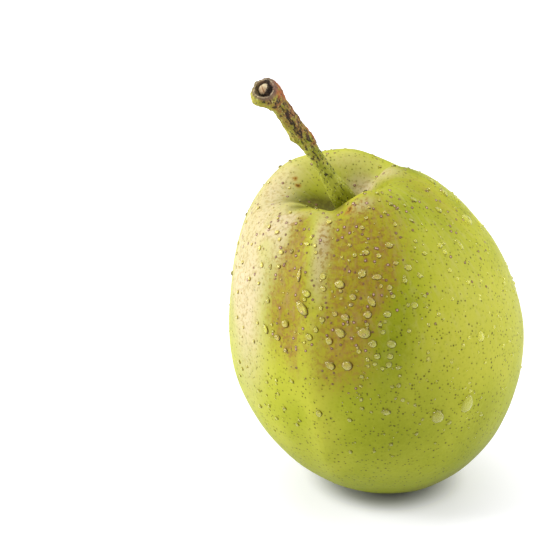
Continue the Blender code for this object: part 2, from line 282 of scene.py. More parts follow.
# The drops that show one by one: the middle's pixel, its length and width in pixels, how far its
# long side is turned from level, and how much heavier its lower end is.
DROPS = (
    (329.2, 222.4, 6.1, 5.6, 0, 0.2),
    (307.0, 243.9, 7.5, 3.5, -30, 0.3),
    (281.3, 252.3, 6.0, 5.0, -20, 0.3),
    (299.4, 275.0, 14.0, 4.4, 80, 0.6),
    (322.9, 276.5, 7.0, 7.0, 0, 0.2),
    (323.2, 288.6, 7.0, 5.0, -35, 0.3),
    (306.5, 293.4, 10.0, 7.2, -40, 0.4),
    (302.2, 308.2, 17.5, 9.0, -52, 0.3),
    (339.7, 284.5, 11.0, 8.4, -20, 0.3),
    (362.1, 273.7, 8.6, 8.2, 90, 0.2),
    (376.9, 277.2, 10.7, 5.8, 5, 0.1),
    (365.7, 252.6, 7.8, 5.8, -20, 0.2),
    (354.8, 255.1, 5.1, 4.6, 90, 0.2),
    (388.9, 245.4, 8.2, 6.4, -10, 0.2),
    (378.7, 255.9, 5.6, 5.0, 0, 0.1),
    (353.0, 297.0, 7.4, 6.6, -30, 0.2),
    (341.2, 298.5, 4.0, 3.5, 0, 0.1),
    (367.6, 314.6, 8.6, 7.8, -10, 0.2),
    (387.3, 314.3, 8.0, 7.2, 0, 0.1),
    (345.3, 317.3, 9.0, 6.8, -20, 0.3),
    (335.1, 314.0, 6.0, 5.6, 0, 0.2),
    (322.3, 319.9, 6.0, 6.0, 0, 0.3),
    (320.8, 308.2, 5.0, 4.6, 90, 0.1),
    (285.6, 323.5, 9.2, 8.0, -25, 0.3),
    (266.0, 328.6, 11.0, 5.4, -63, 0.4),
    (277.8, 337.2, 7.2, 6.4, -40, 0.3),
    (315.7, 329.6, 6.6, 5.4, -70, 0.3),
    (308.9, 336.7, 9.0, 6.0, -40, 0.4),
    (340.2, 332.7, 11.8, 8.6, -45, 0.5),
    (364.0, 333.2, 14.0, 10.6, -10, 0.2),
    (329.2, 340.8, 8.6, 7.4, -45, 0.3),
    (373.2, 343.9, 8.2, 8.0, 0, 0.1),
    (391.5, 344.2, 9.7, 8.0, -15, 0.1),
    (377.4, 356.4, 6.6, 6.2, 0, 0.1),
    (390.2, 356.4, 6.6, 6.2, 0, 0.1),
    (358.9, 351.3, 5.4, 5.0, 0, 0.1),
    (371.5, 301.5, 12.0, 6.5, -55, 0.3),
    (408.2, 267.9, 7.6, 6.6, 0, 0.2),
    (404.7, 280.8, 5.6, 5.2, 0, 0.1),
    (389.4, 287.8, 6.2, 5.8, 0, 0.2),
    (381.0, 286.2, 4.6, 4.0, 90, 0.1),
    (395.6, 263.3, 5.4, 4.4, 0, 0.1),
    (262.1, 264.8, 6.0, 4.0, -75, 0.2),
    (270.6, 266.8, 6.0, 3.4, 80, 0.2),
    (268.3, 300.5, 6.0, 4.8, -70, 0.2),
    (279.5, 239.3, 4.4, 4.0, 0, 0.1),
    (260.0, 248.0, 5.6, 3.6, 65, 0.1),
    (285.8, 350.1, 4.8, 4.6, 0, 0.2),
    (311.6, 237.2, 5.4, 3.0, 75, 0.1),
    (367.2, 324.5, 4.6, 3.6, 0, 0.1),
    (380.0, 324.5, 5.0, 4.2, 0, 0.1),
    (383.0, 332.3, 5.2, 4.6, 0, 0.1),
    (350.9, 305.1, 4.6, 4.0, 0, 0.1),
    (393.0, 296.6, 5.0, 4.6, 0, 0.1),
    (414.4, 305.4, 7.6, 6.8, -20, 0.2),
    (361.9, 228.0, 5.6, 4.6, 0, 0.2),
    (394.8, 224.6, 4.8, 4.2, 70, 0.1),
    (413.2, 200.0, 8.0, 5.0, -10, 0.1),
    (438.2, 210.2, 8.4, 5.8, -25, 0.2),
    (443.3, 192.9, 11.5, 6.5, -30, 0.2),
    (466.2, 220.4, 13.5, 10.0, -20, 0.3),
    (459.6, 244.9, 12.0, 5.0, -50, 0.4),
    (439.7, 245.9, 6.0, 5.6, 0, 0.1),
    (444.3, 252.2, 6.2, 5.6, 20, 0.1),
    (424.4, 253.6, 5.2, 4.6, 0, 0.1),
    (449.4, 270.4, 5.6, 5.0, 0, 0.1),
    (419.3, 275.5, 6.0, 4.6, -70, 0.1),
    (424.9, 295.9, 4.0, 3.6, 0, 0.1),
    (415.2, 241.3, 4.0, 3.6, 0, 0.1),
    (410.6, 220.4, 4.6, 3.6, 0, 0.1),
    (479.0, 223.5, 8.5, 5.0, -50, 0.1),
    (457.6, 200.6, 8.5, 5.5, -35, 0.1),
    (431.5, 181.8, 10.0, 4.5, -25, 0.0),
    (480.3, 336.5, 10.7, 8.2, 85, 0.2),
    (437.1, 416.1, 14.3, 13.0, -70, 0.2),
    (466.7, 402.9, 19.5, 12.0, 72, 0.4),
    (386.1, 412.0, 9.2, 6.2, -10, 0.1),
    (402.7, 399.8, 4.6, 4.4, 0, 0.1),
    (388.9, 364.8, 6.6, 6.0, 0, 0.1),
    (398.2, 367.7, 6.0, 4.2, 0, 0.1),
    (409.1, 330.9, 4.8, 4.4, 0, 0.1),
    (382.7, 368.4, 4.6, 4.2, 0, 0.1),
    (330.0, 365.2, 12.0, 7.6, -35, 0.4),
    (347.3, 365.6, 11.0, 10.0, -30, 0.2),
    (319.1, 413.2, 8.0, 6.4, -70, 0.2),
    (349.9, 419.8, 5.0, 4.6, 0, 0.1),
    (367.6, 359.6, 5.0, 4.4, 0, 0.1),
    (374.9, 364.0, 5.0, 4.2, 0, 0.1),
    (269.3, 406.0, 4.0, 3.6, 0, 0.1),
    (284.6, 408.1, 5.0, 4.4, -60, 0.2),
    (276.9, 417.8, 4.8, 3.8, 0, 0.1),
    (373.0, 153.5, 6.0, 3.0, -15, 0.0),
    (238.6, 243.0, 5.0, 3.6, 60, 0.0),
    (246.5, 222.0, 4.5, 3.4, 55, 0.0),
)


def lean_rotation():
    """Turns the upright fruit's frame to how it stands."""
    level_axis = Vector((-math.sin(LEAN_TOWARDS), math.cos(LEAN_TOWARDS), 0.0))
    return Matrix.Rotation(LEAN, 3, level_axis)


def bell(distance, half_width):
    """A rounded bump of height 1 that fades out over about two half widths."""
    return math.exp(-((distance / half_width) ** 2))


def smooth_step(low, high, value):
    """0 at low, 1 at high, and an even rise between them, whichever of them is larger."""
    share = min(max((value - low) / (high - low), 0.0), 1.0)
    return share * share * (3 - 2 * share)


# The camera and the photograph's pixels.


def view_axes():
    """Towards the viewer, and the way up in the picture."""
    rise, fall = math.sin(VIEW_ELEVATION), math.cos(VIEW_ELEVATION)
    return Vector((0, -fall, rise)), Vector((0, rise, fall))


def view_place():
    return GIRTH_CENTRE + view_axes()[0] * VIEW_DISTANCE


def view_rotation():
    """The camera's rotation: it aims past the fruit so that the girth's middle falls on its pixel."""
    up = view_axes()[1]
    right = Vector((1, 0, 0))
    per_pixel = VIEW_DISTANCE / FOCAL_PIXELS
    aim = GIRTH_CENTRE - right * (GIRTH_PIXEL[0] - PHOTO_WIDTH / 2) * per_pixel
    aim -= up * (PHOTO_HEIGHT / 2 - GIRTH_PIXEL[1]) * per_pixel
    return (aim - view_place()).to_track_quat("-Z", "Y")


def photo_ray(across, down):
    """The direction from the camera through a pixel of the photograph."""
    seen = Vector((across - PHOTO_WIDTH / 2, PHOTO_HEIGHT / 2 - down, -FOCAL_PIXELS))
    return (view_rotation() @ seen).normalized()


class Skin:
    """The finished fruit's surface, for finding places on it."""

    def __init__(self):
        fruit = bpy.data.objects["pear_fruit"]
        self.tree = BVHTree.FromObject(fruit, bpy.context.evaluated_depsgraph_get())

    def at_pixel(self, across, down):
        """The place and outward normal that a pixel of the photograph shows.

        A pixel just past the outline is moved in towards the girth's middle.
        """
        seen = Vector((across, down))
        inward = (Vector(GIRTH_PIXEL) - seen).normalized()
        for step in range(FARTHEST_PAST_OUTLINE):
            place, normal, _, _ = self.tree.ray_cast(
                view_place(), photo_ray(*(seen + inward * step)))
            if place:
                return place, normal
        raise RuntimeError(f"pixel {across}, {down} doesn't show the fruit")

    def from_outside(self, direction):
        """The place and normal where a line to the girth's middle enters the fruit."""
        start = GIRTH_CENTRE + direction * WELL_OUTSIDE
        place, normal, _, _ = self.tree.ray_cast(start, -direction)
        return place, normal

    def patch_axes(self, across, down, turned):
        """A place, and a turned frame there: along, beside and out of the skin, as columns."""
        place, normal = self.at_pixel(across, down)
        right = view_rotation() @ Vector((1, 0, 0))
        level = (right - normal * right.dot(normal)).normalized()
        level = Matrix.Rotation(math.radians(turned), 3, normal) @ level
        beside = normal.cross(level)
        return place, Matrix((level, beside, normal)).transposed()


# Materials.


class Value:
    """A number, vector or colour among nodes. Python's sums on numbers add Math nodes."""

    def __init__(self, tree, socket):
        self.tree = tree
        self.socket = socket

    def output(self, name):
        """Another output of the node that this value comes from."""
        return Value(self.tree, self.socket.node.outputs[name])

    def maths(self, operation, *values):
        sockets = dict(enumerate(values))
        return self.tree.node("ShaderNodeMath", {"operation": operation}, sockets)

    def __add__(self, other):
        return self.maths("ADD", self, other)

    def __radd__(self, other):
        return self.maths("ADD", other, self)

    def __sub__(self, other):
        return self.maths("SUBTRACT", self, other)

    def __rsub__(self, other):
        return self.maths("SUBTRACT", other, self)

    def __mul__(self, other):
        return self.maths("MULTIPLY", self, other)

    def __rmul__(self, other):
        return self.maths("MULTIPLY", other, self)

    def __truediv__(self, other):
        return self.maths("DIVIDE", self, other)

    def __rtruediv__(self, other):
        return self.maths("DIVIDE", other, self)

    def clamped(self):
        """Held between 0 and 1."""
        return self.maths("MINIMUM", self.maths("MAXIMUM", self, 0.0), 1.0)

    def unsigned(self):
        return self.maths("ABSOLUTE", self)

    def ramp(self, none, full):
        """0 at none and 1 at full, with a smooth rise, whichever of them is larger."""
        low, high = min(none, full), max(none, full)
        return self.tree.node(
            "ShaderNodeMapRange", {"interpolation_type": "SMOOTHSTEP"},
            {0: self, 1: low, 2: high, 3: float(none > full), 4: float(full > none)})


class NodeTree:
    """The nodes of a material or of the surround."""

    def __init__(self, tree):
        self.tree = tree

    def node(self, kind, settings, sockets, output=0):
        """Adds a node: its settings first, then the values or links of its sockets."""
        made = self.tree.nodes.new(kind)
        for name, value in settings.items():
            setattr(made, name, value)
        for socket, value in sockets.items():
            self.feed(made.inputs[socket], value)
        return Value(self, made.outputs[output])

    def feed(self, socket, value):
        """Links a value to a socket, or sets the socket to a plain number or colour."""
        if isinstance(value, Value):
            self.tree.links.new(value.socket, socket)
        else:
            socket.default_value = value


class Paint(NodeTree):
    """One material in the making."""

    def __init__(self, name, roughness, **constants):
        self.material = bpy.data.materials.new(name)
        self.material.use_nodes = True
        super().__init__(self.material.node_tree)
        self.shader = self.tree.nodes["Principled BSDF"]
        self.shader.inputs["Roughness"].default_value = roughness
        for socket, value in constants.items():
            self.shader.inputs[socket.replace("_", " ")].default_value = value

    def set(self, socket, value):
        """Feeds a socket of the shader."""
        self.feed(self.shader.inputs[socket], value)

    def place(self):
        """Object coordinates."""
        return self.node("ShaderNodeTexCoord", {}, {}, "Object")

    def framed(self, place, centre, rotation, scale=(1.0, 1.0, 1.0)):
        """The place as seen from a centre, in turned axes, measured in units of scale."""
        return self.node(
            "ShaderNodeMapping", {"vector_type": "TEXTURE"},
            {"Vector": place, "Location": centre, "Rotation": rotation, "Scale": scale})

    def split(self, vector):
        """The three numbers of a vector."""
        x = self.node("ShaderNodeSeparateXYZ", {}, {0: vector})
        return x, x.output("Y"), x.output("Z")

    def joined(self, x, y, z):
        return self.node("ShaderNodeCombineXYZ", {}, {0: x, 1: y, 2: z})

    def length(self, vector):
        return self.node("ShaderNodeVectorMath", {"operation": "LENGTH"}, {0: vector}, "Value")

    def added(self, vector, other):
        return self.node("ShaderNodeVectorMath", {"operation": "ADD"}, {0: vector, 1: other})

    def scaled(self, vector, scale):
        return self.node("ShaderNodeVectorMath", {"operation": "SCALE"}, {0: vector, 3: scale})

    def noise(self, place, size, detail=2.0, roughness=0.5):
        """Soft noise from 0 to 1, with lumps of about this size in metres."""
        return self.node(
            "ShaderNodeTexNoise", {},
            {"Vector": place, "Scale": 1 / size, "Detail": detail, "Roughness": roughness})

    def noise_vector(self, place, size):
        return self.node("ShaderNodeTexNoise", {}, {"Vector": place, "Scale": 1 / size}, "Color")

    def cells(self, place, size):
        """Distance to the nearest of scattered points, in metres, and a random number for each."""
        far = self.node(
            "ShaderNodeTexVoronoi", {}, {"Vector": place, "Scale": 1 / size}, "Distance")
        return far * size, self.split(far.output("Color"))[0]

    def mixed(self, share, colour, other):
        """A colour that turns into another as share goes from 0 to 1."""
        return self.node(
            "ShaderNodeMix", {"data_type": "RGBA", "clamp_factor": True},
            {0: share, 6: colour, 7: other}, 2)

    def bumped(self, height, depth):
        """A normal for a relief of this depth in metres."""
        return self.node(
            "ShaderNodeBump", {}, {"Strength": 1.0, "Distance": depth, "Height": height})

    def patch(self, place, skin, row):
        """1 in the middle of a patch, fading out to its edge."""
        across, down, half_width, half_height, turned, strength = row
        middle, axes = skin.patch_axes(across, down, turned)
        depth = max(half_width, half_height)
        spread = MILLIMETRE * PATCH_SPREAD
        scale = [size * spread for size in (half_width, half_height, depth)]
        near = self.framed(place, middle, axes.to_euler(), scale)
        return self.length(near).ramp(1.0, 0.0) * strength

    def patches(self, place, skin, rows):
        """1 in the middle of any patch of a table, and 0 away from them all."""
        total = 0.0
        for row in rows:
            total = self.patch(place, skin, row) + total
        return total.clamped()


# Modelling helpers.


def activate(piece):
    """Selects one object alone."""
    bpy.ops.object.select_all(action="DESELECT")
    piece.select_set(True)
    bpy.context.view_layer.objects.active = piece


def apply_modifier(piece, kind, **settings):
    """Adds a modifier with these settings and applies it."""
    activate(piece)
    modifier = piece.modifiers.new(kind.lower(), kind)
    for name, value in settings.items():
        setattr(modifier, name, value)
    bpy.ops.object.modifier_apply(modifier=modifier.name)


def subdivide(piece, levels):
    apply_modifier(piece, "SUBSURF", levels=levels, render_levels=levels)


def move_vertices(piece, moved):
    """Puts every vertex where moved(place, normal) says."""
    mesh = piece.data
    places = [(vertex.co.copy(), vertex.normal.copy()) for vertex in mesh.vertices]
    numbers = [number for place, normal in places for number in moved(place, normal)]
    mesh.vertices.foreach_set("co", numbers)
    mesh.update()


def copy_of_node(node, name):
    """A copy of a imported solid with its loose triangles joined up, as quads where they were quads."""
    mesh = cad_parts[node].data.copy()
    mesh.name = name
    mesh.materials.clear()
    piece = bpy.data.objects.new(name, mesh)
    bpy.context.scene.collection.objects.link(piece)
    activate(piece)
    bpy.ops.object.mode_set(mode="EDIT")
    bpy.ops.mesh.select_all(action="SELECT")
    bpy.ops.mesh.remove_doubles(threshold=MERGE_DISTANCE)
    bpy.ops.mesh.tris_convert_to_quads()
    bpy.ops.mesh.normals_make_consistent(inside=False)
    bpy.ops.object.mode_set(mode="OBJECT")
    if mesh.has_custom_normals:
        bpy.ops.mesh.customdata_custom_splitnormals_clear()
    bpy.ops.object.shade_smooth()
    return piece


def dress(piece, paint):
    """Gives a finished piece its material and its place in the table."""
    piece.data.materials.clear()
    piece.data.materials.append(paint.material)
    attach(piece, "root")


# The fruit.


def smooth_underside(piece):
    """Rounds the creases between the flat spot and the basin, and leaves the flat spot as it is."""
    activate(piece)
    for vertex in piece.data.vertices:
        vertex.select = FLAT_TOP < vertex.co.z < UNDERSIDE_TOP
    bpy.ops.object.mode_set(mode="EDIT")
    bpy.ops.mesh.select_mode(type="VERT")
    bpy.ops.mesh.vertices_smooth(factor=0.5, repeat=UNDERSIDE_SMOOTHINGS)
    bpy.ops.object.mode_set(mode="OBJECT")


def swell_skin(piece, settings):
    """Soft lumps all over, none where it rests, and a notch where the stem's foot shows."""
    notch = Skin().at_pixel(*NOTCH_PIXEL)[0]
    upwards = lean_rotation() @ Vector((0, 0, 1))

    def swelled(place, normal):
        dent = upwards * settings.notch_depth * bell((place - notch).length, settings.notch_size)
        lumps = noise.noise(place / settings.lump_size)
        lumps += 0.5 * noise.noise(place / settings.lump_size * 2.3)
        clear_of_floor = smooth_step(LUMPS_FROM, LUMPS_FULL_FROM, place.z)
        return place + normal * lumps * settings.lump_height * clear_of_floor - dent

    move_vertices(piece, swelled)


def raised_dots(paint, place, reach, settings):
    """Scattered dots that stand up, more of them where reach is high: ring and pale heart."""
    far, chance = paint.cells(place, settings.ringed_spacing)
    shown = (chance - 1.0 + reach).ramp(0.0, 0.05)
    ring = far.ramp(settings.ringed_size, settings.ringed_size * 0.55) * shown
    heart = far.ramp(settings.ringed_size * 0.52, settings.ringed_size * 0.25) * shown
    return ring, heart


def flat_dots(paint, place, strength, settings):
    """Small dots of uneven size: the dot itself, and the halo round it."""
    far, chance = paint.cells(place, settings.dot_spacing)
    shown = chance.ramp(0.05, 0.12) * strength
    far = far / (chance * chance * 0.6 + 0.70)
    dot = far.ramp(settings.dot_size, settings.dot_size * 0.7) * shown
    halo = far.ramp(settings.dot_size * 2.4, settings.dot_size) * shown
    return dot, halo


def paint_skin(settings, skin):
    """Yellow-green waxy skin with a brown blush, dots and russet spots, and painted highlights, sheen
    and shade.
    """
    paint = Paint(
        "waxy_pear_skin", settings.roughness, Specular_IOR_Level=0.13,
        Subsurface_Weight=0.10, Subsurface_Scale=0.002, Subsurface_Radius=(1.0, 0.8, 0.3))
    place = paint.place()
    own = paint.framed(place, GIRTH_CENTRE, lean_rotation().to_euler())
    x, y, z = paint.split(own)
    from_axis = paint.length(paint.joined(x, y, 0.0)) + NO_ZERO
    grain = paint.joined(
        x / from_axis * STREAK_ROUND, y / from_axis * STREAK_ROUND, z * STREAK_ALONG)

    clouds = paint.noise(place, CLOUD_SIZE, 3.0)
    fine = paint.noise(place, FINE_SIZE, 4.0, 0.65)
    streaks = paint.noise(grain, STREAK_SIZE, 3.0, 0.6)
    broad_streaks = paint.noise(grain, BROAD_STREAK_SIZE, 2.0)

    # The ground colour: yellow, deep green and cream on green, and darker towards the calyx. The
    # patches also carry a painted highlight along the rib, painted shade, and painted sheen and
    # highlights.
    colour = paint.mixed(clouds.ramp(0.25, 0.80) * 0.7, settings.green, settings.yellow)
    yellow = paint.patches(place, skin, YELLOW_AND_HIGHLIGHT_PATCHES)
    colour = paint.mixed(yellow * 0.9, colour, settings.yellow)
    deep = paint.patches(place, skin, DEEP_GREEN_AND_SHADE_PATCHES)
    colour = paint.mixed(deep * (broad_streaks * 0.6 + 0.6), colour, settings.deep_green)
    cream = paint.patches(place, skin, CREAM_AND_SHEEN_PATCHES)
    colour = paint.mixed(cream * (clouds * 0.5 + 0.5), colour, settings.cream)
    low = (z + CALYX_DEPTH).ramp(0.030, 0.006) * (1.0 - yellow * 0.5)
    colour = paint.mixed(low * 0.85, colour, settings.deep_green)

    # The blush and its flecks, pale streaks, and painted shade in the cavity and low at the right.
    brown = paint.patches(place, skin, BROWN_PATCHES)
    mottle = (streaks * 0.6 + fine).ramp(0.60, 0.95)
    colour = paint.mixed(brown * (mottle * 0.50 + 0.50), colour, settings.blush)
    flecks = fine.ramp(0.50, 0.61)
    fleck_reach = (brown + cream * 0.5).clamped()
    colour = paint.mixed(fleck_reach * flecks * 0.85, colour, settings.blush_dark)
    pale_streaks = streaks.ramp(0.45, 0.80) * (z.ramp(0.000, 0.020) + cream).clamped() * 0.15
    colour = paint.mixed(pale_streaks, colour, settings.cream)
    shade = paint.patches(place, skin, SHADE_PATCHES)
    colour = paint.mixed(shade, colour, settings.cavity)

    colour = paint.mixed(fine.ramp(0.45, 0.60) * 0.10, colour, settings.yellow)
    russet = paint.patches(place, skin, RUSSET_SPOTS)
    spotted = (russet * (fine.ramp(0.35, 0.50) + 0.4)).clamped()
    colour = paint.mixed(spotted, colour, settings.russet)
    burnt = russet.ramp(0.45, 0.85) * fine.ramp(0.42, 0.56)
    colour = paint.mixed(burnt * 0.8, colour, settings.dot)

    # Raised dots with a ring round them, and small flat dots.
    wobble = paint.scaled(paint.noise_vector(place, WOBBLE_SIZE), WOBBLE)
    wobbled = paint.added(place, wobble)
    upper = z.ramp(0.012, 0.030) * (y.ramp(0.015, -0.015) * 0.6 + 0.4)
    ringed_reach = (brown * 1.2 + upper * 0.45).clamped()
    ring, heart = raised_dots(paint, wobbled, ringed_reach, settings)
    colour = paint.mixed(ring * 0.85, colour, settings.ring)
    colour = paint.mixed(heart * 0.90, colour, settings.heart)
    dot_strength = (1.0 - ringed_reach * 0.65) * (1.0 - cream * 0.55)
    dot, halo = flat_dots(paint, wobbled, dot_strength, settings)
    colour = paint.mixed(halo * 0.25, colour, settings.deep_green)
    colour = paint.mixed(dot * 0.9, colour, settings.dot)

    paint.set("Base Color", colour)
    paint.set("Roughness", fine * 0.16 + (settings.roughness - 0.08))
    pebbles = paint.noise(place, PEBBLE_SIZE, 2.0)
    relief = ring * 0.8 + heart * 0.5 + dot * 0.1 + fine * 0.12 + pebbles * 0.5
    paint.set("Normal", paint.bumped(relief, SKIN_RELIEF))
    return paint


# The stem.


def stem_points():
    return [STEM_START + point for point in STEM_ROUTE]


def stem_reading(point):
    """How far along the stem a point is, from 0 at the seat to 1 at the scar, and which way round.

    The way round is 0 towards the picture's right and grows towards the back.
    """
    points = stem_points()
    lengths = [(after - before).length for before, after in zip(points, points[1:])]
    total = sum(lengths)
    best = None
    run = 0.0
    for before, after, length in zip(points, points[1:], lengths):
        step = (after - before) / length
        reach = (point - before).dot(step)
        inside = min(max(reach, 0.0), length)
        foot = before + step * inside
        gap = (point - foot).length
        if best is None or gap < best[0]:
            best = (gap, (run + inside) / total, point - foot, step)
        run += length
    _, along, outward, step = best
    right = (Vector((1, 0, 0)) - step * step.x).normalized()
    back = step.cross(right)
    return along, math.atan2(outward.dot(back), outward.dot(right))


def scar_frame():
    """The middle of the scar at the stem's end, and the way that it faces."""
    points = stem_points()
    return points[-1], (points[-1] - points[-2]).normalized()


def carve_bark(piece, settings):
    """Ridges, pits and the lobed foot of the stem, and the ring and pith of its scar."""
    scar, facing = scar_frame()
    alongs = []

    def carved(spot, normal):
        along, turn = stem_reading(spot)
        alongs.append(along)
        rough = smooth_step(0.25, 0.60, along)
        pits = noise.noise(spot / PIT_SIZE)
        pits += 0.6 * noise.noise(spot / FINE_PIT_SIZE)
        drawn_out = Vector((math.cos(turn) * 2.2, math.sin(turn) * 2.2, along * 7.0))
        ridges = noise.noise(drawn_out)
        fine_ridges = noise.noise(drawn_out * 2.4)
        height = settings.bark_depth * (rough * pits + 0.25 * (1 - rough) * pits)
        height += settings.ridge_depth * (ridges + 0.5 * fine_ridges) * (0.6 + 0.4 * rough)
        foot = 1 - smooth_step(0.0, 0.30, along)
        height -= settings.foot_groove * foot * bell(turn + 0.9, 0.30)
        height += 0.3 * settings.foot_groove * foot * bell(turn + 0.1, 0.5)
        from_scar = spot - scar
        out = from_scar.dot(facing)
        aside = (from_scar - facing * out).length
        on_scar = smooth_step(-0.0009, -0.0003, out) * (1 - smooth_step(0.0015, 0.0019, aside))
        height += settings.knob_bulge * bell((spot - KNOB_BULGE).length, KNOB_BULGE_SIZE)
        ripple = RIPPLE_HEIGHT * noise.noise(spot / RIPPLE_SIZE)
        pith = settings.pith_height * (1 - smooth_step(PITH_TOP_RADIUS, PITH_RADIUS, aside))
        groove = settings.scar_groove * bell(aside - RING_RADIUS, RING_WIDTH)
        end_relief = facing * on_scar * (pith - groove + ripple)
        return spot + normal * height * (1 - on_scar) + end_relief

    move_vertices(piece, carved)
    mesh = piece.data
    mesh.attributes.new("stem_place", "FLOAT", "POINT").data.foreach_set("value", alongs)


def sink_foot(piece, settings):
    """Draws the stem's foot down into the skin that it grows from, and flares it a little."""
    axis = lean_rotation() @ Vector((0, 0, 1))

    def sunk(place, normal):
        above = (place - STEM_START).dot(axis)
        share = 1 - smooth_step(0.0, 0.0016, above)
        outward = place - STEM_START - axis * above
        return place + (outward * settings.foot_flare - axis * settings.foot_sink) * share

    move_vertices(piece, sunk)


def scar_colour(paint, colour, place, patterns, settings):
    """The bark's colour with the scar on it.

    The scar is greyish, with a pale lip, a dark ring and a split pith, a little off its middle.
    """
    clouds, fine, blotches = patterns
    scar, facing = scar_frame()
    across = (Vector((1, 0, 0)) - facing * facing.x).normalized()
    turned = Matrix((across, facing.cross(across), facing)).transposed().to_euler()
    right, up, out = paint.split(paint.framed(place, scar, turned))
    aside = paint.length(paint.joined(right, up, 0.0))

    end = out.ramp(-0.0016, -0.0006) * aside.ramp(0.0027, 0.0023)
    colour = paint.mixed(end * 0.75, colour, settings.scar_rim)
    lip = (aside - LIP_RADIUS).unsigned().ramp(0.00014, 0.00005)
    colour = paint.mixed(end * lip * fine.ramp(0.45, 0.55) * 0.6, colour, settings.pith)
    uneven = clouds * 0.0008 + (blotches - 0.5) * 0.0016
    ring = out.ramp(-0.0014, -0.0008) * (aside + uneven).ramp(0.0023, 0.0020)
    colour = paint.mixed(ring * (fine.ramp(0.62, 0.50) * 0.35 + 0.6), colour, settings.dark)

    from_pith = paint.length(paint.joined(right + 0.00030, (up - 0.00025) * 0.8, 0.0))
    ragged = from_pith + fine * 0.0006 + blotches * 0.0009 - 0.00075
    pith = out.ramp(-0.0010, -0.0006) * ragged.ramp(0.00105, 0.00088)
    colour = paint.mixed(pith, colour, settings.pith)
    split = (right + up * 0.4 + 0.0002).unsigned().ramp(0.00016, 0.00006)
    worn = (blotches + up * -300.0).ramp(0.30, 0.60)
    return paint.mixed(pith * (worn * 0.6 + split * 0.4), colour, settings.brown)


def paint_bark(settings):
    """Green, speckled bark that turns brown and rough towards the scar, with a pale pith, a painted
    highlight on its lower left side, and painted shade on its foot and its right side.
    """
    paint = Paint("speckled_stem_bark", settings.roughness, Specular_IOR_Level=0.22)
    place = paint.place()
    along = paint.node("ShaderNodeAttribute", {"attribute_name": "stem_place"}, {}, "Fac")

    base, tip = stem_points()[0], stem_points()[-1]
    run = (tip - base).normalized()
    right = (Vector((1, 0, 0)) - run * run.x).normalized()
    lengthways = Matrix((right, run.cross(right), run)).transposed().to_euler()
    straight = paint.framed(place, base, lengthways, (1.0, 1.0, BARK_GRAIN_LENGTH))
    side = paint.split(straight)[0]

    clouds = paint.noise(place, BARK_CLOUD_SIZE, 3.0)
    fine = paint.noise(place, BARK_FINE_SIZE, 3.0, 0.6)
    grain = paint.noise(straight, BARK_GRAIN_SIZE, 3.0, 0.65)
    specks, chance = paint.cells(place, SPECK_SPACING)
    blots = paint.noise(straight, BLOT_SIZE, 4.0, 0.7)
    small_blots = paint.noise(straight, SMALL_BLOT_SIZE, 3.0, 0.6)
    blotches = paint.noise(place, BLOTCH_SIZE, 3.0)

    # The bark's greens and browns, a painted highlight on the lower part's left side, and painted shade
    # on the foot down in the cavity.
    colour = paint.mixed(clouds.ramp(0.35, 0.65), settings.green, settings.light_green)
    # Painted highlight: paler bark down the left side of the stem's lower part.
    pale_foot_highlight = along.ramp(0.08, 0.18) * along.ramp(0.42, 0.28) * side.ramp(0.0012, -0.0012)
    colour = paint.mixed(pale_foot_highlight * 0.6, colour, settings.light_green)
    # Painted shade: the foot darkens down in the cavity.
    colour = paint.mixed(along.ramp(0.17, 0.04) * 0.8, colour, settings.foot)
    brown = (along.ramp(0.36, 0.75) * 0.70 + (blotches - 0.48) * 3.0).clamped()
    brown = brown * along.ramp(0.30, 0.45) * (side.ramp(-0.0016, 0.0004) * 0.6 + 0.4)
    colour = paint.mixed(brown, colour, settings.brown)

    # Pale specks, dark flecks, more of them on the right side as painted shade, and a warm edge at the
    # right.
    pale = specks.ramp(0.00020, 0.00010) * chance.ramp(0.45, 0.50)
    pale = (pale + small_blots.ramp(0.36, 0.30) * along.ramp(0.35, 0.55)).clamped()
    colour = paint.mixed(pale * 0.6, colour, settings.speck)
    dark_side = side.ramp(-0.0014, 0.0006) * 0.10
    dark = (blots + dark_side + along.ramp(0.25, 0.60) * 0.08).ramp(0.70, 0.735)
    fewer = along.ramp(0.48, 0.15) * 0.09
    dark = dark + (small_blots + dark_side - fewer).ramp(0.62, 0.66) * 0.9
    dark_specks = specks.ramp(0.00018, 0.00008) * chance.ramp(0.26, 0.18)
    dark = (dark + dark_specks).clamped()
    colour = paint.mixed(dark * 0.9, colour, settings.dark)
    warm = side.ramp(0.0011, 0.0021) * along.ramp(0.42, 0.55) * grain.ramp(0.38, 0.55)
    colour = paint.mixed(warm * 0.8, colour, settings.orange)
    colour = scar_colour(paint, colour, place, (clouds, fine, blotches), settings)

    paint.set("Base Color", colour)
    paint.set("Roughness", fine * 0.2 + (settings.roughness - 0.1))
    relief = fine * 0.6 + grain * 0.6 + pale * 0.5 - dark * 0.5
    paint.set("Normal", paint.bumped(relief, BARK_RELIEF))
    return paint


# The calyx.


def wrinkle_calyx(piece, settings):
    """Creases in the dried sepals, deeper towards their tips."""

    def creased(place, normal):
        creases = noise.noise(place / CREASE_SIZE)
        creases += 0.6 * noise.noise(place / FINE_CREASE_SIZE)
        reach = smooth_step(0.0010, 0.0040, (place - BASIN_SEAT).length)
        return place + normal * creases * settings.crease_depth * (0.4 + 0.6 * reach)

    move_vertices(piece, creased)


def paint_calyx(settings):
    """Dry brown sepals with paler fibres."""
    paint = Paint("dry_calyx", settings.roughness)
    place = paint.place()
    fine = paint.noise(place, CALYX_FINE_SIZE, 4.0, 0.65)
    fibres = paint.noise(place, FIBRE_SIZE, 2.0)
    colour = paint.mixed(fine.ramp(0.35, 0.65), settings.dark, settings.light)
    colour = paint.mixed(fibres.ramp(0.58, 0.72) * 0.5, colour, settings.edge)
    paint.set("Base Color", colour)
    paint.set("Normal", paint.bumped(fine + fibres, CALYX_RELIEF))
    return paint


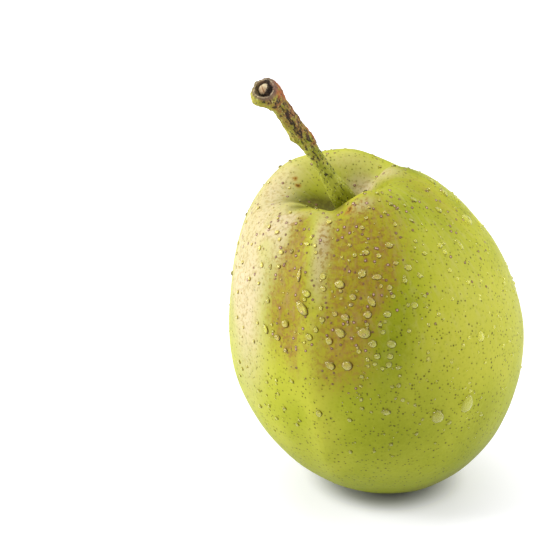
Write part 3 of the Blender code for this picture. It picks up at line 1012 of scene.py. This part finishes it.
def tuft_strand(turn, spread, length):
    """One dried stamen: a thin tapered thread that curves out from the calyx's middle."""
    bpy.ops.object.select_all(action="DESELECT")
    bpy.ops.mesh.primitive_cylinder_add(
        vertices=STRAND_SIDES, radius=STRAND_THICKNESS, depth=length, location=(0, 0, -length / 2))
    strand = bpy.context.active_object
    bpy.ops.object.transform_apply(location=True, rotation=True, scale=True)
    bpy.ops.object.mode_set(mode="EDIT")
    bpy.ops.mesh.select_all(action="DESELECT")
    bpy.ops.mesh.select_mode(type="EDGE")
    mesh = bmesh.from_edit_mesh(strand.data)
    for edge in mesh.edges:
        edge.select_set(abs(edge.verts[0].co.z - edge.verts[1].co.z) > length / 2)
    bpy.ops.mesh.subdivide(number_cuts=STRAND_CUTS)
    bpy.ops.object.mode_set(mode="OBJECT")
    for vertex in strand.data.vertices:
        down = -vertex.co.z / length
        taper = 1 - 0.5 * down
        lean = spread * length * down * down
        vertex.co.x = vertex.co.x * taper + lean * math.cos(turn)
        vertex.co.y = vertex.co.y * taper + lean * math.sin(turn)
    return strand


# Water.


def drop_template(name, segments, rings):
    """A flattened dome of unit radius and height that closes just under the skin."""
    bpy.ops.object.select_all(action="DESELECT")
    bpy.ops.mesh.primitive_uv_sphere_add(segments=segments, ring_count=rings, radius=1.0)
    template = bpy.context.active_object
    template.name = name
    bpy.ops.object.shade_smooth()
    for vertex in template.data.vertices:
        if vertex.co.z < 0:
            vertex.co.z *= DROP_UNDERSIDE
    return template


def lay_drop(template, matrix, heavy, seed):
    """A copy of the template, heavier at its far end and a little uneven, set on the skin."""
    drop = template.copy()
    drop.data = template.data.copy()
    bpy.context.scene.collection.objects.link(drop)
    shift = Vector((seed * 3.1, seed * 1.7, 0.0))
    away_from_light = (matrix.to_3x3().inverted() @ AWAY_FROM_LIGHT).xy.normalized()
    to_right = smooth_step(*CLEAR_DROPS_FROM_TO, matrix.translation.x)
    # Painted light on each drop: a dark shadow rim on the side away from the light, and a glow where
    # light gathers inside; towards the right, less rim and glow all over.
    rims = []
    glows = []
    for vertex in drop.data.vertices:
        spot = vertex.co
        away = Vector(spot.xy).dot(away_from_light)
        rim = (0.35 + 0.65 * smooth_step(-0.5, 0.5, away)) * smooth_step(0.70, 0.88, spot.xy.length)
        rim *= 1 - 0.75 * to_right
        rims.append(rim)
        glows.append(max(smooth_step(-0.45, 0.35, away), 0.3 + 0.6 * to_right) * (1 - rim))
        uneven = 1 + DROP_UNEVENNESS * noise.noise(Vector((spot.x, spot.y, 0.0)) * 1.3 + shift)
        wider = 1 + heavy * HEAVY_WIDER * spot.x
        taller = 1 + heavy * HEAVY_TALLER * spot.x
        vertex.co = Vector((spot.x * uneven, spot.y * uneven * wider, spot.z * taller))
    for name, numbers in (("drop_rim", rims), ("drop_glow", glows)):
        drop.data.attributes.new(name, "FLOAT", "POINT").data.foreach_set("value", numbers)
    drop.data.transform(matrix)
    return drop


def drop_matrix(place, axes, half_length, half_width, height):
    """From the template's unit axes to a drop's own, the heavy end downhill."""
    along, beside, out = (axes.col[i].copy() for i in range(3))
    if along.z > 0:
        along, beside = -along, -beside
    columns = (along * half_length, beside * half_width, out * height)
    turned = Matrix(columns).transposed().to_4x4()
    return Matrix.Translation(place) @ turned


def joined_drops(name, drops, template):
    """All drops as one piece, and the template gone."""
    bpy.data.objects.remove(template)
    bpy.ops.object.select_all(action="DESELECT")
    for drop in drops:
        drop.select_set(True)
    bpy.context.view_layer.objects.active = drops[0]
    bpy.ops.object.join()
    piece = bpy.context.active_object
    piece.name = name
    piece.data.name = name
    return piece


def paint_water(settings):
    """Clear water, with a painted glow away from the light, inside a painted dark shadow rim."""
    paint = Paint(
        "clear_water", 0.0, IOR=settings.refraction, Transmission_Weight=settings.clarity)
    rim = paint.node("ShaderNodeAttribute", {"attribute_name": "drop_rim"}, {}, "Fac")
    glow = paint.node("ShaderNodeAttribute", {"attribute_name": "drop_glow"}, {}, "Fac")
    colour = paint.mixed(glow, settings.clear, settings.glow)
    paint.set("Base Color", paint.mixed(rim, colour, settings.rim))
    return paint


# Settings that a user would change.


def colour_setting(name, description, red, green, blue):
    """A colour, without its alpha."""
    return FloatVectorProperty(
        name=name, description=description, subtype="COLOR", size=4,
        default=(red, green, blue, 1.0), min=0, max=1)


def length_setting(name, description, default):
    return FloatProperty(name=name, description=description, unit="LENGTH", default=default)


def share_setting(name, description, default):
    return FloatProperty(
        name=name, description=description, subtype="FACTOR", default=default, min=0, max=1)


def power_setting(name, description, default):
    return FloatProperty(name=name, description=description, unit="POWER", default=default)


class PearSkinSettings(bpy.types.PropertyGroup):
    """Colours, lumps and dots of the skin."""

    green: colour_setting("Green", "Main colour of the skin", 0.34, 0.37, 0.012)
    # Yellow also paints a highlight along the crest of the rib.
    yellow: colour_setting("Yellow", "Colour of the sunny flanks", 0.50, 0.49, 0.045)
    # Deep green also paints shade in the cavity and low on the belly and the right.
    deep_green: colour_setting("Deep green", "Colour of the shaded belly", 0.20, 0.235, 0.000)
    # Cream also paints sheen on the left flank and highlights on the cavity's lip and folds.
    cream: colour_setting("Cream", "Colour of the pale side and streaks", 0.60, 0.485, 0.33)
    blush: colour_setting("Blush", "Brown of the blushed patches", 0.285, 0.192, 0.008)
    blush_dark: colour_setting("Dark blush", "Darkest flecks of the blush", 0.25, 0.12, 0.025)
    # Cavity is painted shade in the cavity and low at the right.
    cavity: colour_setting("Cavity", "Skin down beside the stem", 0.10, 0.09, 0.002)
    russet: colour_setting("Russet", "Orange-brown of the rough spots", 0.34, 0.15, 0.006)
    dot: colour_setting("Dot", "Colour of the small dark dots", 0.070, 0.045, 0.007)
    ring: colour_setting("Ring", "Colour round the raised dots", 0.17, 0.07, 0.05)
    heart: colour_setting("Heart", "Pale middle of the raised dots", 0.68, 0.46, 0.36)
    roughness: share_setting("Roughness", "How matt the wax is", 0.50)
    lump_size: length_setting("Lump size", "Size of the soft lumps", 0.014)
    lump_height: length_setting("Lump height", "Height of the lumps", 0.00022)
    notch_size: length_setting("Notch size", "Half width of the dip before the stem", 0.0024)
    notch_depth: length_setting("Notch depth", "Depth of the dip before the stem", 0.0009)
    ringed_spacing: length_setting("Raised dot spacing", "Spacing of the raised dots", 0.00150)
    ringed_size: length_setting("Raised dot size", "Radius of a raised dot", 0.00042)
    dot_spacing: length_setting("Dot spacing", "Spacing of the small dots", 0.00080)
    dot_size: length_setting("Dot size", "Radius of a small dot", 0.00018)


class PearStemSettings(bpy.types.PropertyGroup):
    """Colours and relief of the stem."""

    green: colour_setting("Green", "Bark near the fruit", 0.25, 0.265, 0.012)
    # Light green also paints the highlight on the lower left of the stem.
    light_green: colour_setting("Light green", "Paler bark near the fruit", 0.42, 0.43, 0.05)
    # Foot is painted shade on the stem down in the cavity.
    foot: colour_setting("Foot", "Bark down in the cavity", 0.07, 0.065, 0.003)
    brown: colour_setting("Brown", "Bark near the scar", 0.25, 0.11, 0.035)
    orange: colour_setting("Orange", "Warm edge of the upper half", 0.40, 0.11, 0.03)
    dark: colour_setting("Dark", "Dark cracks and flecks", 0.025, 0.016, 0.012)
    speck: colour_setting("Speck", "Fine pale specks", 0.52, 0.52, 0.18)
    scar_rim: colour_setting("Scar rim", "Greyish bark round the scar", 0.17, 0.11, 0.08)
    pith: colour_setting("Pith", "Pale wood in the scar", 0.66, 0.55, 0.34)
    roughness: share_setting("Roughness", "How matt the bark is", 0.65)
    bark_depth: length_setting("Bark depth", "Depth of the pits", 0.00020)
    ridge_depth: length_setting("Ridge depth", "Height of the long ridges", 0.00018)
    knob_bulge: length_setting("Knob bulge", "Swelling under the scar", 0.0012)
    foot_groove: length_setting("Foot groove", "Depth of the groove in the foot", 0.0006)
    foot_flare: share_setting("Foot flare", "Share by which the foot spreads", 0.12)
    foot_sink: length_setting("Foot sink", "How far the foot goes into the skin", 0.0007)
    pith_height: length_setting("Pith height", "How far the pith stands up", 0.00030)
    scar_groove: length_setting("Scar groove", "Depth of the ring in the scar", 0.00045)


class PearCalyxSettings(bpy.types.PropertyGroup):
    """The dried flower remains underneath."""

    dark: colour_setting("Dark", "Darkest brown", 0.035, 0.020, 0.010)
    light: colour_setting("Light", "Lighter brown", 0.14, 0.085, 0.04)
    edge: colour_setting("Edge", "Papery edges", 0.34, 0.25, 0.14)
    roughness: share_setting("Roughness", "How matt it is", 0.85)
    crease_depth: length_setting("Crease depth", "Depth of its creases", 0.00012)
    strands: IntProperty(
        name="Strands", description="Dried stamens in its middle", default=14, min=0)


class PearWaterSettings(bpy.types.PropertyGroup):
    """The drops on the skin."""

    # Glow is painted light gathered in a drop, and rim a painted shadow round its edge.
    clear: colour_setting("Clear", "Tint of the water", 0.74, 0.68, 0.20)
    glow: colour_setting("Glow", "Tint where the drop gathers light", 1.00, 1.00, 0.36)
    rim: colour_setting("Rim", "Tint of the rim away from the light", 0.07, 0.035, 0.005)
    clarity: share_setting("Clarity", "Share of the light that goes through", 0.77)
    refraction: FloatProperty(
        name="Refraction", description="Index of refraction of water", default=1.33)
    height: share_setting("Height", "A drop's height as a share of its half width", 0.80)
    small_drops: IntProperty(
        name="Small drops", description="How many small drops are scattered", default=520)
    smallest: length_setting("Smallest", "Half width of the smallest drop", 0.00014)
    largest: length_setting("Largest", "Half width of the largest scattered drop", 0.00050)
    seed: IntProperty(name="Seed", description="Where the small drops fall", default=11)


class PearStudioSettings(bpy.types.PropertyGroup):
    """Floor and light."""

    floor: colour_setting("Floor", "Colour of the floor", 0.66, 0.66, 0.72)
    glow: share_setting("Floor glow", "How much the floor shines round the fruit", 0.44)
    shadow_core: length_setting("Shadow core", "How far from its middle the shadow is full", 0.0100)
    shadow_reach: length_setting("Shadow reach", "How far out the glow sets in fully", 0.0183)
    world_strength: FloatProperty(
        name="Surround", description="Strength of the light from all round", default=0.32)
    left_power: power_setting("Left light", "Power of the large light at the left", 4.5)
    right_power: power_setting("Right light", "Power of the light at the right", 3.0)
    key_power: power_setting("Key light", "Power of the small light that the drops mirror", 1.5)
    top_power: power_setting("Top light", "Power of the light overhead", 7.6)


# Operators.


class PEAR_OT_fruit(bpy.types.Operator):
    """Make the fruit: the solid refined, swelled a little and painted."""

    bl_idname = "pear.fruit"
    bl_label = "Fruit"

    def execute(self, context):
        settings = context.scene.pear_skin
        piece = copy_of_node("fruit", "pear_fruit")
        subdivide(piece, 2)
        smooth_underside(piece)
        swell_skin(piece, settings)
        dress(piece, paint_skin(settings, Skin()))
        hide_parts("fruit")
        return {"FINISHED"}


class PEAR_OT_stem(bpy.types.Operator):
    """Make the stem: the solid refined, carved into bark, and painted."""

    bl_idname = "pear.stem"
    bl_label = "Stem"

    def execute(self, context):
        settings = context.scene.pear_stem
        piece = copy_of_node("stem", "pear_stem")
        subdivide(piece, 3)
        carve_bark(piece, settings)
        sink_foot(piece, settings)
        dress(piece, paint_bark(settings))
        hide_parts("stem")
        return {"FINISHED"}


class PEAR_OT_calyx(bpy.types.Operator):
    """Make the dried calyx and the tuft of stamens in its middle."""

    bl_idname = "pear.calyx"
    bl_label = "Calyx"

    def execute(self, context):
        settings = context.scene.pear_calyx
        piece = copy_of_node("calyx", "pear_calyx")
        subdivide(piece, 2)
        wrinkle_calyx(piece, settings)
        paint = paint_calyx(settings)
        dress(piece, paint)
        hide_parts("calyx")
        draw = random.Random(STRAND_SEED)
        strands = []
        for index in range(settings.strands):
            turn = math.tau * index / settings.strands
            strand = tuft_strand(turn, draw.uniform(*STRAND_LEANS), draw.uniform(*STRAND_LENGTHS))
            foot = BASIN_SEAT + Vector((math.cos(turn), math.sin(turn), 0.0)) * STRAND_RING
            strand.data.transform(Matrix.Translation(foot - Vector((0, 0, STRAND_SINK))))
            strands.append(strand)
        bpy.ops.object.select_all(action="DESELECT")
        for strand in strands:
            strand.select_set(True)
        context.view_layer.objects.active = strands[0]
        bpy.ops.object.join()
        tuft = context.active_object
        tuft.name = "calyx_stamens"
        bpy.ops.object.shade_smooth()
        dress(tuft, paint)
        return {"FINISHED"}


class PEAR_OT_water(bpy.types.Operator):
    """Lay the water drops on the skin: the ones that show one by one, and a fine scatter."""

    bl_idname = "pear.water"
    bl_label = "Water drops"

    def execute(self, context):
        settings = context.scene.pear_water
        skin = Skin()
        paint = paint_water(settings)
        self.large_drops(settings, skin, paint)
        self.small_drops(settings, skin, paint)
        return {"FINISHED"}

    def large_drops(self, settings, skin, paint):
        template = drop_template("drop_template", *LARGE_DROP_MESH)
        per_pixel = VIEW_DISTANCE / FOCAL_PIXELS
        drops = []
        for index, (across, down, length, width, turned, heavy) in enumerate(DROPS):
            place, axes = skin.patch_axes(across, down, turned)
            half_length, half_width = length / 2 * per_pixel, width / 2 * per_pixel
            height = settings.height * half_width
            matrix = drop_matrix(place, axes, half_length, half_width, height)
            drops.append(lay_drop(template, matrix, heavy, index))
        piece = joined_drops("water_drops", drops, template)
        piece.visible_shadow = False
        dress(piece, paint)

    def small_drops(self, settings, skin, paint):
        template = drop_template("fine_drop_template", *SMALL_DROP_MESH)
        draw = random.Random(settings.seed)
        drops = []
        while len(drops) < settings.small_drops:
            direction = Vector([draw.gauss(0, 1) for _ in range(3)]).normalized()
            wet = smooth_step(-0.6, 1.0, direction.dot(WETTEST)) ** 1.5
            if direction.z < LOWEST_WATER or draw.random() > wet + DRY_SIDE_CHANCE:
                continue
            place, normal = skin.from_outside(direction)
            size = draw.random() ** 2.2
            half_width = settings.smallest + (settings.largest - settings.smallest) * size
            level = normal.orthogonal().normalized()
            axes = Matrix((level, normal.cross(level), normal)).transposed()
            axes = axes @ Matrix.Rotation(draw.uniform(0, math.tau), 3, "Z")
            longer = draw.uniform(1.0, SMALL_DROP_LONGEST)
            matrix = drop_matrix(
                place, axes, half_width * longer, half_width, settings.height * half_width)
            drops.append(lay_drop(template, matrix, SMALL_DROP_HEAVY, len(drops)))
        piece = joined_drops("fine_water_drops", drops, template)
        piece.visible_shadow = False
        dress(piece, paint)


class PEAR_OT_stage(bpy.types.Operator):
    """Set the pale floor, the soft lights and the camera at the photograph's angle."""

    bl_idname = "pear.stage"
    bl_label = "Studio"

    def execute(self, context):
        settings = context.scene.pear_studio
        context.scene.view_settings.view_transform = "Standard"
        bpy.ops.object.select_all(action="DESELECT")
        bpy.ops.mesh.primitive_plane_add(size=FLOOR_SIZE, location=(0, 0, 0))
        floor = context.active_object
        floor.name = "studio_floor"
        # Painted light: the floor glows, black within the shadow's core round the fruit, at the glow
        # setting past the shadow's reach, and white far out.
        paint = Paint("matt_floor", 0.9, Base_Color=settings.floor, Emission_Strength=1.0)
        from_fruit = paint.length(paint.place())
        far = from_fruit.ramp(FAR_FLOOR_FROM, FAR_FLOOR_FULL)
        glow = paint.mixed(far, (settings.glow,) * 3 + (1.0,), WHITE)
        near = from_fruit.ramp(settings.shadow_reach, settings.shadow_core)
        paint.set("Emission Color", paint.mixed(near, glow, BLACK))
        floor.data.materials.append(paint.material)
        world = bpy.data.worlds.new("studio")
        world.use_nodes = True
        surround = NodeTree(world.node_tree)
        background = world.node_tree.nodes["Background"]
        surround.feed(background.inputs["Color"], WHITE)
        seen = surround.node("ShaderNodeLightPath", {}, {}, "Is Camera Ray")
        strength = surround.node("ShaderNodeMix", {}, {0: seen, 2: settings.world_strength, 3: 1.0})
        surround.feed(background.inputs["Strength"], strength)
        context.scene.world = world
        for name, place, size, power in LIGHTS:
            self.soft_light(name, place, size, getattr(settings, power))
        bpy.ops.object.camera_add(location=view_place(), rotation=view_rotation().to_euler())
        camera = context.active_object
        camera.name = "camera"
        camera.data.sensor_width = SENSOR
        camera.data.lens = FOCAL_PIXELS * SENSOR / max(PHOTO_WIDTH, PHOTO_HEIGHT)
        camera.data.clip_start = NEAR_CLIP
        context.scene.camera = camera
        return {"FINISHED"}

    def soft_light(self, name, place, size, power):
        """A square light that faces the fruit."""
        turn = (GIRTH_CENTRE - Vector(place)).to_track_quat("-Z", "Y").to_euler()
        bpy.ops.object.light_add(type="AREA", location=place, rotation=turn)
        light = bpy.context.active_object
        light.name = name
        light.data.energy = power
        light.data.size = size


class PEAR_PT_sidebar(bpy.types.Panel):
    """Lists the pieces in the sidebar."""

    bl_label = "Pear"
    bl_idname = "PEAR_PT_sidebar"
    bl_space_type = "VIEW_3D"
    bl_region_type = "UI"
    bl_category = "Pear"

    def draw(self, context):
        for group, operator in PIECES:
            box = self.layout.box()
            box.operator(operator)
            for name in SETTINGS[group].__annotations__:
                box.prop(getattr(context.scene, group), name)


PIECES = (
    ("pear_skin", "pear.fruit"),
    ("pear_stem", "pear.stem"),
    ("pear_calyx", "pear.calyx"),
    ("pear_water", "pear.water"),
    ("pear_studio", "pear.stage"),
)
SETTINGS = {
    "pear_skin": PearSkinSettings,
    "pear_stem": PearStemSettings,
    "pear_calyx": PearCalyxSettings,
    "pear_water": PearWaterSettings,
    "pear_studio": PearStudioSettings,
}
CLASSES = (
    *SETTINGS.values(), PEAR_OT_fruit, PEAR_OT_stem, PEAR_OT_calyx, PEAR_OT_water, PEAR_OT_stage,
    PEAR_PT_sidebar,
)


def register():
    for made in CLASSES:
        bpy.utils.register_class(made)
    for name, group in SETTINGS.items():
        setattr(bpy.types.Scene, name, PointerProperty(type=group))


def unregister():
    for name in SETTINGS:
        delattr(bpy.types.Scene, name)
    for made in reversed(CLASSES):
        bpy.utils.unregister_class(made)


def main():
    register()
    bpy.ops.pear.fruit()
    bpy.ops.pear.stem()
    bpy.ops.pear.calyx()
    bpy.ops.pear.water()
    bpy.ops.pear.stage()


if __name__ == "__main__":
    main()
